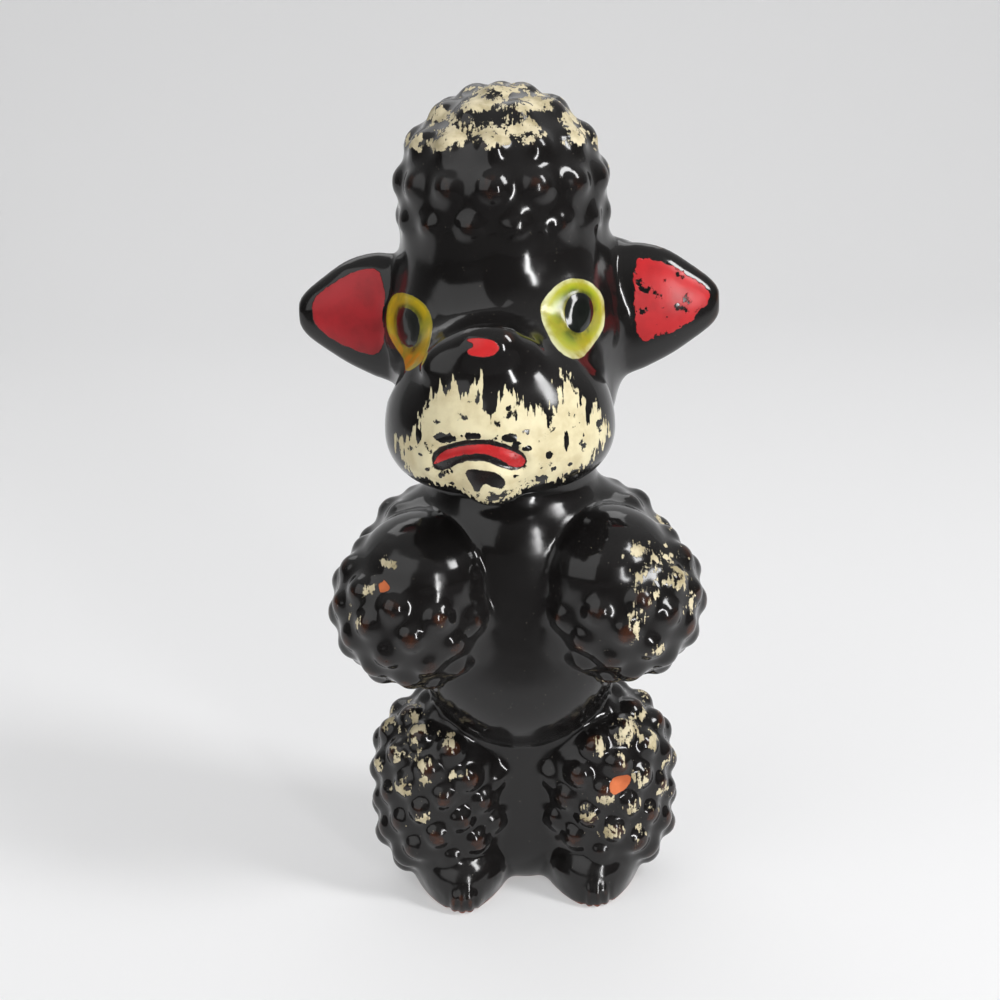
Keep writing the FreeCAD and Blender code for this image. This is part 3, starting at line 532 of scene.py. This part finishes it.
def addNoise(tree, where, scale, detail=3.0, roughness=0.55, stretch=None):
    if stretch:
        bend = addNode(tree, "ShaderNodeMapping", values={"Scale": stretch})
        tree.links.new(where, bend.inputs["Vector"])
        where = bend.outputs[0]
    noise = addNode(tree, "ShaderNodeTexNoise",
                    values={"Scale": scale, "Detail": detail, "Roughness": roughness})
    tree.links.new(where, noise.inputs["Vector"])
    return noise.outputs["Fac"]


def addStep(tree, value, low, high):
    step = addNode(tree, "ShaderNodeMapRange", {"interpolation_type": "SMOOTHSTEP"},
                   {"From Min": low, "From Max": high})
    tree.links.new(value, step.inputs["Value"])
    return step.outputs[0]


def addMix(tree, factor, first, second):
    mix = addNode(tree, "ShaderNodeMix", {"data_type": "RGBA"})
    tree.links.new(factor, mix.inputs[0])
    for socket, value in ((mix.inputs[6], first), (mix.inputs[7], second)):
        if isinstance(value, tuple):
            socket.default_value = value
        else:
            tree.links.new(value, socket)
    return mix.outputs[2]


def readAttribute(tree, name):
    return addNode(tree, "ShaderNodeAttribute", {"attribute_name": name}).outputs["Fac"]


def objectSpot(tree):
    return tree.nodes.new("ShaderNodeTexCoord").outputs["Object"]


def addAxes(tree, where):
    split = addNode(tree, "ShaderNodeSeparateXYZ")
    tree.links.new(where, split.inputs[0])
    return split.outputs


# black glaze over red clay: it breaks brown on the tips and carries fine dust
glazeLook = {"glaze": (0.0085, 0.0078, 0.0076, 1), "break": (0.075, 0.022, 0.008, 1), "breakFrom": 0.20,
             "breakOver": 0.28, "patchScale": 260, "patchShare": 0.5,
             "dust": 0.5, "dustColour": (0.26, 0.23, 0.18, 1), "dustRoughness": 0.3,
             "speckScale": 1500, "speckBand": (0.16, 0.08), "rareScale": 900, "rareBand": (0.60, 0.66),
             "smearScale": 90, "smearBand": (0.42, 0.75), "smearRoughness": 0.13, "roughness": 0.10,
             "peelScale": 210, "peel": 0.16}
glazeGroup, glazeIn, glazeOut = newGroup(
    "blackGlaze",
    [("Tip", "NodeSocketFloat", 0.0), ("Glaze", "NodeSocketColor", glazeLook["glaze"]),
     ("Break", "NodeSocketColor", glazeLook["break"]),
     ("Break From", "NodeSocketFloat", glazeLook["breakFrom"]),
     ("Dust", "NodeSocketFloat", glazeLook["dust"])],
    [("Color", "NodeSocketColor"), ("Roughness", "NodeSocketFloat"), ("Height", "NodeSocketFloat")])
where = objectSpot(glazeGroup)
patchShare = glazeLook["patchShare"]
patchy = addNoise(glazeGroup, where, glazeLook["patchScale"], detail=4)
patchy = addMath(glazeGroup, "MULTIPLY_ADD", patchy, patchShare, -patchShare / 2)
worn = addMath(glazeGroup, "ADD", glazeIn.outputs["Tip"], patchy)
broken = addMath(glazeGroup, "SUBTRACT", worn, glazeIn.outputs["Break From"])
broken = addStep(glazeGroup, broken, 0.0, glazeLook["breakOver"])
colour = addMix(glazeGroup, broken, glazeIn.outputs["Glaze"], glazeIn.outputs["Break"])
specks = addNode(glazeGroup, "ShaderNodeTexVoronoi",
                 values={"Scale": glazeLook["speckScale"], "Randomness": 1.0})
glazeGroup.links.new(where, specks.inputs["Vector"])
rare = addNoise(glazeGroup, where, glazeLook["rareScale"], detail=2)
rare = addStep(glazeGroup, rare, *glazeLook["rareBand"])
dust = addStep(glazeGroup, specks.outputs["Distance"], *glazeLook["speckBand"])
dust = addMath(glazeGroup, "MULTIPLY", dust, rare)
dust = addMath(glazeGroup, "MULTIPLY", dust, glazeIn.outputs["Dust"])
colour = addMix(glazeGroup, dust, colour, glazeLook["dustColour"])
glazeGroup.links.new(colour, glazeOut.inputs["Color"])
smear = addNoise(glazeGroup, where, glazeLook["smearScale"], detail=5)
smear = addStep(glazeGroup, smear, *glazeLook["smearBand"])
rough = addMath(glazeGroup, "MULTIPLY_ADD", smear, glazeLook["smearRoughness"], glazeLook["roughness"])
dull = addMath(glazeGroup, "MULTIPLY", dust, glazeLook["dustRoughness"])
rough = addMath(glazeGroup, "ADD", rough, dull)
glazeGroup.links.new(rough, glazeOut.inputs["Roughness"])
peel = addNoise(glazeGroup, where, glazeLook["peelScale"], detail=1.5)
glazeGroup.links.new(addMath(glazeGroup, "MULTIPLY", peel, glazeLook["peel"]), glazeOut.inputs["Height"])

# a brushed coat: ragged at its edge, streaked along Z, flaked in places
coatLook = {"edgeScale": 520, "edgeBand": (-0.06, 0.10),
            "streakScale": 1500, "streakStretch": (1, 0.3, 0.08), "streakRelief": 0.12,
            "flakeScale": 330, "flakeShare": 0.5, "flakeFrom": 0.86, "flakeBand": (-0.01, 0.02),
            "toneScale": 240, "toneBand": (0.38, 0.72)}
coatGroup, coatIn, coatOut = newGroup(
    "brushedCoat",
    [("Base", "NodeSocketColor", None), ("Base Roughness", "NodeSocketFloat", 0.1),
     ("Base Height", "NodeSocketFloat", 0.0), ("Edge", "NodeSocketFloat", 0.0),
     ("Paint", "NodeSocketColor", (0.8, 0.7, 0.5, 1)), ("Shade", "NodeSocketColor", (0.5, 0.4, 0.2, 1)),
     ("Paint Roughness", "NodeSocketFloat", 0.4), ("Ragged", "NodeSocketFloat", 1.0),
     ("Streaks", "NodeSocketFloat", 0.0), ("Flakes", "NodeSocketFloat", 0.3),
     ("Thick", "NodeSocketFloat", 0.3)],
    [("Color", "NodeSocketColor"), ("Roughness", "NodeSocketFloat"), ("Height", "NodeSocketFloat")])
where = objectSpot(coatGroup)
ragged = addNoise(coatGroup, where, coatLook["edgeScale"], detail=5)
ragged = addMath(coatGroup, "MULTIPLY_ADD", ragged, 2.0, -1.0)  # noise from -1 to 1
edge = addMath(coatGroup, "MULTIPLY_ADD", ragged, coatIn.outputs["Ragged"], coatIn.outputs["Edge"])
streak = addNoise(coatGroup, where, coatLook["streakScale"], detail=4, stretch=coatLook["streakStretch"])
streak = addMath(coatGroup, "MULTIPLY_ADD", streak, 2.0, -1.0)
edge = addMath(coatGroup, "MULTIPLY_ADD", streak, coatIn.outputs["Streaks"], edge)
covered = addStep(coatGroup, edge, *coatLook["edgeBand"])
flaky = addNoise(coatGroup, where, coatLook["flakeScale"], detail=6, roughness=0.65)
loss = addMath(coatGroup, "MULTIPLY", coatIn.outputs["Flakes"], coatLook["flakeShare"])
lost = addMath(coatGroup, "SUBTRACT", addMath(coatGroup, "ADD", flaky, loss), coatLook["flakeFrom"])
kept = addMath(coatGroup, "SUBTRACT", 1.0, addStep(coatGroup, lost, *coatLook["flakeBand"]))
mask = addMath(coatGroup, "MULTIPLY", covered, kept)
tone = addNoise(coatGroup, where, coatLook["toneScale"], detail=5)
tone = addStep(coatGroup, tone, *coatLook["toneBand"])
painted = addMix(coatGroup, tone, coatIn.outputs["Paint"], coatIn.outputs["Shade"])
coatGroup.links.new(addMix(coatGroup, mask, coatIn.outputs["Base"], painted), coatOut.inputs["Color"])
gap = addMath(coatGroup, "SUBTRACT", coatIn.outputs["Paint Roughness"], coatIn.outputs["Base Roughness"])
coatGroup.links.new(addMath(coatGroup, "MULTIPLY_ADD", gap, mask, coatIn.outputs["Base Roughness"]),
                    coatOut.inputs["Roughness"])
relief = addMath(coatGroup, "MULTIPLY_ADD", streak, coatLook["streakRelief"], 1.0)
lift = addMath(coatGroup, "MULTIPLY", mask, relief)
lift = addMath(coatGroup, "MULTIPLY", lift, coatIn.outputs["Thick"])
lift = addMath(coatGroup, "ADD", lift, coatIn.outputs["Base Height"])
coatGroup.links.new(lift, coatOut.inputs["Height"])
print("shader groups built")

# the surface that all the fired pieces share, and how the dry brush finds the tops of the curls
firedLook = {"ior": 1.45, "bump": 0.55, "bumpDistance": 0.0004,
             "dabLoad": 1.55, "tipGain": 1.1, "tipFrom": 0.95}


def firedMaterial(name, coats):
    # a glazed piece with its coats of paint, one over the other
    material = bpy.data.materials.new(name)
    material.use_nodes = True
    tree = material.node_tree
    shader = tree.nodes["Principled BSDF"]
    base = addNode(tree, "ShaderNodeGroup", {"node_tree": glazeGroup})
    tree.links.new(readAttribute(tree, "tip"), base.inputs["Tip"])
    colour, rough, height = (base.outputs[key] for key in ("Color", "Roughness", "Height"))
    for coat in coats:
        layer = addNode(tree, "ShaderNodeGroup", {"node_tree": coatGroup}, coat["values"])
        edge = readAttribute(tree, coat["edge"])
        if coat["edge"] == "dab":
            tips = addMath(tree, "MULTIPLY_ADD", readAttribute(tree, "tip"), firedLook["tipGain"],
                           -firedLook["tipFrom"])
            edge = addMath(tree, "MULTIPLY_ADD", edge, firedLook["dabLoad"], tips)
        tree.links.new(edge, layer.inputs["Edge"])
        if "ring" in coat:
            tree.links.new(ringColours(tree, coat["ring"]), layer.inputs["Paint"])
        for source, target in ((colour, "Base"), (rough, "Base Roughness"), (height, "Base Height")):
            tree.links.new(source, layer.inputs[target])
        colour, rough, height = (layer.outputs[key] for key in ("Color", "Roughness", "Height"))
    bump = addNode(tree, "ShaderNodeBump", values={"Strength": firedLook["bump"],
                                                   "Distance": firedLook["bumpDistance"]})
    tree.links.new(height, bump.inputs["Height"])
    tree.links.new(bump.outputs[0], shader.inputs["Normal"])
    tree.links.new(colour, shader.inputs["Base Color"])
    tree.links.new(rough, shader.inputs["Roughness"])
    shader.inputs["IOR"].default_value = firedLook["ior"]
    return material


# the eyes' rings from pupil to rim; the lower end of one ring is more orange, heights in metres
rings = {
    "right": {"stops": [(0.0, (0.028, 0.026, 0.005, 1)), (0.18, (0.09, 0.085, 0.008, 1)),
                        (0.40, (0.42, 0.30, 0.010, 1)), (0.75, (0.60, 0.42, 0.016, 1)),
                        (0.95, (0.36, 0.28, 0.02, 1))],
              "lowColour": (0.66, 0.27, 0.010, 1), "lowHeights": (0.1196, 0.1186),
              "lowSpan": (0.3, 0.5)},
    "left": {"stops": [(0.0, (0.030, 0.034, 0.006, 1)), (0.22, (0.09, 0.12, 0.010, 1)),
                       (0.45, (0.26, 0.31, 0.014, 1)), (0.68, (0.42, 0.42, 0.035, 1)),
                       (0.86, (0.58, 0.58, 0.28, 1)), (1.0, (0.66, 0.66, 0.42, 1))]},
}


def ringColours(tree, side):
    ring = rings[side]
    ramp = addNode(tree, "ShaderNodeValToRGB")
    while len(ramp.color_ramp.elements) < len(ring["stops"]):
        ramp.color_ramp.elements.new(0.5)
    for element, (spot, colour) in zip(ramp.color_ramp.elements, ring["stops"]):
        element.position, element.color = spot, colour
    span = readAttribute(tree, "eyeSpan")
    tree.links.new(span, ramp.inputs[0])
    if "lowColour" not in ring:
        return ramp.outputs[0]
    low = addStep(tree, addAxes(tree, objectSpot(tree))["Z"], *ring["lowHeights"])
    share = addMath(tree, "MULTIPLY", low, addStep(tree, span, *ring["lowSpan"]))
    return addMix(tree, share, ramp.outputs[0], ring["lowColour"])


# coats of paint, with one dark band at the mouth that is painted groove shade above the red and bare
# black glaze below it: the outline that each follows, its two colours and how it is brushed
coats = {
    "creamDab": {"edge": "dab", "values": {
        "Paint": (0.66, 0.58, 0.39, 1), "Shade": (0.34, 0.28, 0.15, 1),
        "Paint Roughness": 0.55, "Ragged": 1.3, "Streaks": 0.9, "Flakes": 0.60, "Thick": 0.12}},
    "clayChip": {"edge": "chipEdge", "values": {
        "Paint": (0.60, 0.16, 0.055, 1), "Shade": (0.46, 0.11, 0.035, 1),
        "Paint Roughness": 0.85, "Ragged": 0.5, "Flakes": 0.0, "Thick": -0.6}},
    "bareFoot": {"edge": "footEdge", "values": {
        "Paint": (0.22, 0.055, 0.028, 1), "Shade": (0.10, 0.03, 0.018, 1),
        "Paint Roughness": 0.7, "Ragged": 0.6, "Flakes": 0.0, "Thick": -0.2}},
    "cream": {"edge": "creamEdge", "values": {
        "Paint": (0.69, 0.62, 0.40, 1), "Shade": (0.54, 0.46, 0.27, 1),
        "Paint Roughness": 0.45, "Ragged": 1.0, "Streaks": 3.2, "Flakes": 0.52, "Thick": 0.5}},
    # painted shade: the dark band round the red mouth stands in for the carved groove's shade above the
    # red; below the red it is bare black glaze
    "line": {"edge": "lineEdge", "values": {
        "Paint": (0.012, 0.010, 0.010, 1), "Shade": (0.02, 0.012, 0.01, 1),
        "Paint Roughness": 0.18, "Ragged": 0.35, "Flakes": 0.0, "Thick": 0.0}},
    "mouth": {"edge": "mouthEdge", "values": {
        "Paint": (0.50, 0.018, 0.020, 1), "Shade": (0.33, 0.012, 0.014, 1),
        "Paint Roughness": 0.28, "Ragged": 0.35, "Flakes": 0.0, "Thick": 0.3}},
    "chin": {"edge": "chinEdge", "values": {
        "Paint": (0.010, 0.009, 0.009, 1), "Shade": (0.02, 0.012, 0.010, 1),
        "Paint Roughness": 0.15, "Ragged": 0.45, "Flakes": 0.0, "Thick": -0.4}},
    "nose": {"edge": "noseEdge", "values": {
        "Paint": (0.55, 0.018, 0.020, 1), "Shade": (0.44, 0.015, 0.015, 1),
        "Paint Roughness": 0.30, "Ragged": 0.35, "Flakes": 0.1, "Thick": 0.4}},
    "pupil": {"edge": "pupilEdge", "values": {
        "Paint": (0.006, 0.007, 0.006, 1), "Shade": (0.010, 0.012, 0.010, 1),
        "Paint Roughness": 0.10, "Ragged": 0.15, "Flakes": 0.0, "Thick": 0.1}},
    "earRight": {"edge": "earEdge", "values": {
        "Paint": (0.40, 0.012, 0.018, 1), "Shade": (0.30, 0.010, 0.014, 1),
        "Paint Roughness": 0.38, "Ragged": 0.45, "Flakes": 0.12, "Thick": 0.4}},
    "earLeft": {"edge": "earEdge", "values": {
        "Paint": (0.50, 0.014, 0.018, 1), "Shade": (0.40, 0.011, 0.014, 1),
        "Paint Roughness": 0.34, "Ragged": 1.0, "Flakes": 0.56, "Thick": 0.4}},
}
for name, side in (("eyeLeft", "left"), ("eyeRight", "right")):
    coats[name] = {"edge": "eyeEdge", "ring": side, "values": {
        "Shade": (0.30, 0.27, 0.02, 1), "Paint Roughness": 0.20, "Ragged": 0.18,
        "Flakes": 0.0, "Thick": 0.2}}

# which section wears what: material, coats from the lowest up, slot
faceCoats = ["cream", "chin", "line", "mouth"]
dress = {
    "muzzle_paint": ("muzzleCream", faceCoats, "muzzle_cream"),
    "mouth_paint": ("mouthRed", faceCoats, "mouth_red"),
    "nose_paint": ("noseRed", ["nose"], "mouth_red"),
    "eye_left": ("eyeOchreLeft", ["eyeLeft", "pupil"], "eye_ochre"),
    "eye_right": ("eyeOchreRight", ["eyeRight", "pupil"], "eye_ochre"),
    "pupil_left": ("pupilBlack", ["eyeLeft", "pupil"], "pupil_black"),
    "pupil_right": ("pupilBlack", ["eyeLeft", "pupil"], "pupil_black"),
    "ear_paint_left": ("earRedLeft", ["earLeft"], "ear_red"),
    "ear_paint_right": ("earRedRight", ["earRight"], "ear_red"),
}
plainDress = ("blackGlaze", ["creamDab", "clayChip", "bareFoot"], "black_glaze")
materials = {}
for label, worn, slotName in [plainDress] + list(dress.values()):
    if label not in materials:
        materials[label] = firedMaterial(label, [coats[key] for key in worn])

# pale cloth: the eye, gloss and glass see it whiter, the lamps leave it its colour
clothLook = {"colour": (0.80, 0.80, 0.81, 1), "roughness": 0.9, "glow": 0.34,
             "nearEdge": -0.07, "farEdge": -0.20, "dusk": 0.06, "duskShare": 0.92}
clothMaterial = bpy.data.materials.new("paleCloth")
clothMaterial.use_nodes = True
tree = clothMaterial.node_tree
shader = tree.nodes["Principled BSDF"]
shader.inputs["Base Color"].default_value = clothLook["colour"]
shader.inputs["Roughness"].default_value = clothLook["roughness"]


def addBlend(tree, share, first, second):
    blend = addNode(tree, "ShaderNodeMixShader")
    for index, source in enumerate((share, first, second)):
        tree.links.new(source, blend.inputs[index])
    return blend.outputs[0]


path = addNode(tree, "ShaderNodeLightPath").outputs
seen = addMath(tree, "ADD", path["Is Camera Ray"], path["Is Glossy Ray"])
seen = addMath(tree, "ADD", seen, path["Is Transmission Ray"], clamp=True)
glow = addNode(tree, "ShaderNodeEmission", values={"Strength": 1.0})
lit = addMath(tree, "MULTIPLY", seen, clothLook["glow"])
blend = addBlend(tree, lit, shader.outputs[0], glow.outputs[0])
# in the gloss the cloth ends in the dim room in front of the figure
dim = addStep(tree, addAxes(tree, objectSpot(tree))["Y"], clothLook["nearEdge"], clothLook["farEdge"])
dim = addMath(tree, "MULTIPLY", dim, path["Is Glossy Ray"])
dusk = addNode(tree, "ShaderNodeEmission", values={"Strength": clothLook["dusk"]})
fade = addBlend(tree, addMath(tree, "MULTIPLY", dim, clothLook["duskShare"]), blend, dusk.outputs[0])
tree.links.new(fade, tree.nodes["Material Output"].inputs["Surface"])
cloth.data.materials.append(clothMaterial)

# the room: brighter overhead and behind, and pale where the camera sees past the cloth
roomLook = {"colour": (1, 1, 1, 1), "level": 0.03, "ceiling": 0.36, "ceilingBand": (0.05, 0.95),
            "backWall": 0.28, "wallBand": (-0.1, 0.9), "pale": 0.75}
world = bpy.data.worlds.new("room")
bpy.context.scene.world = world
world.use_nodes = True
sky = world.node_tree
background = sky.nodes["Background"].inputs
background["Color"].default_value = roomLook["colour"]
facing = addAxes(sky, sky.nodes.new("ShaderNodeTexCoord").outputs["Generated"])
overhead = addStep(sky, facing["Z"], *roomLook["ceilingBand"])
behind = addStep(sky, facing["Y"], *roomLook["wallBand"])
level = addMath(sky, "MULTIPLY_ADD", overhead, roomLook["ceiling"], roomLook["level"])
level = addMath(sky, "MULTIPLY_ADD", behind, roomLook["backWall"], level)
eyeRay = sky.nodes.new("ShaderNodeLightPath").outputs["Is Camera Ray"]
level = addMath(sky, "MULTIPLY_ADD", eyeRay, roomLook["pale"], level)
sky.links.new(addMath(sky, "MINIMUM", level, 1.0), background["Strength"])
bpy.context.scene.view_settings.view_transform = "Standard"
print("materials built")

# the skin is parted into its pieces, each a closed wall, in metres
wall = {"thickness": 0.0014, "facing": 0.2}


def partSkin(name, index):
    piece = skin.copy()
    piece.data = skin.data.copy()
    piece.name = name + "_fired"
    bpy.context.collection.objects.link(piece)
    bpy.ops.object.select_all(action="DESELECT")
    piece.select_set(True)
    bpy.context.view_layer.objects.active = piece
    bpy.ops.object.mode_set(mode="EDIT")
    bpy.ops.mesh.select_mode(type="FACE")
    bpy.ops.object.mode_set(mode="OBJECT")
    piece.data.polygons.foreach_set("select", owner != index)
    bpy.ops.object.mode_set(mode="EDIT")
    bpy.ops.mesh.delete(type="FACE")
    bpy.ops.object.mode_set(mode="OBJECT")
    outer = len(piece.data.polygons)
    closing = piece.modifiers.new("wall", "SOLIDIFY")
    closing.thickness = wall["thickness"]
    closing.offset = -1
    bpy.ops.object.modifier_apply(modifier="wall")
    mesh = piece.data
    mesh.polygons.foreach_set("use_smooth", np.ones(len(mesh.polygons), dtype=bool))
    # the outside is shaded as the whole skin was, so that no seam shows
    corners = readFlat(mesh.loops, "vertex_index", 1, np.int64)
    kept = readFlat(mesh.attributes["skinNormal"].data, "vector", 3, np.float32)
    flat = readFlat(mesh.polygons, "normal", 3)
    starts = readFlat(mesh.polygons, "loop_start", 1, np.int64)
    faceOf = np.repeat(np.arange(len(starts)), np.diff(np.append(starts, len(corners))))
    facing = np.where((faceOf < outer)[:, None], kept[corners], flat[faceOf])
    against = (facing * flat[faceOf]).sum(1) < wall["facing"]
    facing[against] = flat[faceOf][against]
    mesh.normals_split_custom_set(facing.tolist())
    mesh.attributes.remove(mesh.attributes["skinNormal"])
    label, worn, slotName = dress.get(name, plainDress)
    mesh.materials.append(materials[label])
    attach(piece, "root")
    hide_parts(name)
    return piece


for index, name in enumerate(names):
    piece = partSkin(name, index)
    print("piece", name, len(piece.data.polygons))
bpy.data.objects.remove(skin)
